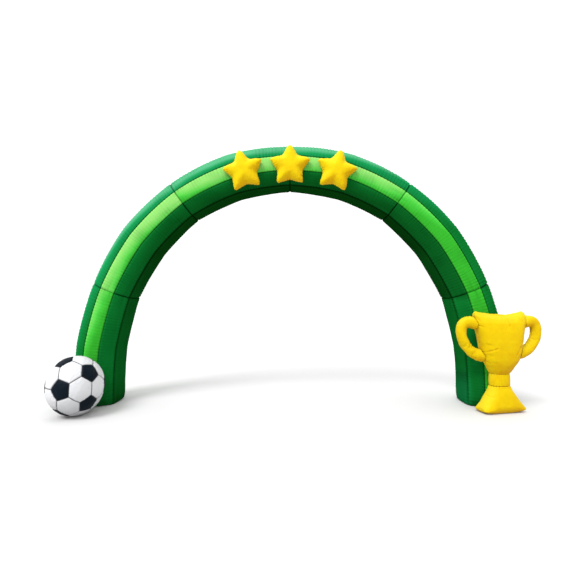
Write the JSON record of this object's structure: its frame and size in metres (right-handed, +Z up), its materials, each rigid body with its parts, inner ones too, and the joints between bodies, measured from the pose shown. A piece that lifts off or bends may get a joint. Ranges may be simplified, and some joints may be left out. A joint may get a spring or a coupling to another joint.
{
  "type": "inflatable arch",
  "caption": "Inflatable cloth archway of curved green segments with a light stripe, yellow stars, a patterned ball and a two-handled trophy on its front.",
  "frame": {"origin": "middle of the whole footprint on the ground, under the arch and a little in front of it", "axes": "+X to the right seen from the front, towards the trophy; +Y from the front to the back; +Z up"},
  "size_m": [6.3894, 1.4226, 3.6169],
  "materials": {
    "dark_green_cloth": "coated polyester, soft sheen",
    "light_green_cloth": "coated polyester, soft sheen",
    "yellow_cloth": "coated polyester, soft sheen",
    "ball_cloth": "white coated polyester with black pentagon panels"
  },
  "bodies": {
    "root": {"tube_1_outer": "dark_green_cloth", "tube_1_inner": "dark_green_cloth", "tube_2_outer": "dark_green_cloth", "tube_2_inner": "dark_green_cloth", "tube_3_outer": "dark_green_cloth", "tube_3_inner": "dark_green_cloth", "tube_4_outer": "dark_green_cloth", "tube_4_inner": "dark_green_cloth", "tube_5_outer": "dark_green_cloth", "tube_5_inner": "dark_green_cloth", "tube_6_outer": "dark_green_cloth", "tube_6_inner": "dark_green_cloth", "tube_1_stripe": "light_green_cloth", "tube_2_stripe": "light_green_cloth", "tube_3_stripe": "light_green_cloth", "tube_4_stripe": "light_green_cloth", "tube_5_stripe": "light_green_cloth", "tube_6_stripe": "light_green_cloth", "star_1": "yellow_cloth", "star_2": "yellow_cloth", "star_3": "yellow_cloth", "trophy_base": "yellow_cloth", "trophy_neck": "yellow_cloth", "trophy_cup": "yellow_cloth", "trophy_handle_left": "yellow_cloth", "trophy_handle_right": "yellow_cloth", "ball": "ball_cloth"}
  },
  "joints": []
}
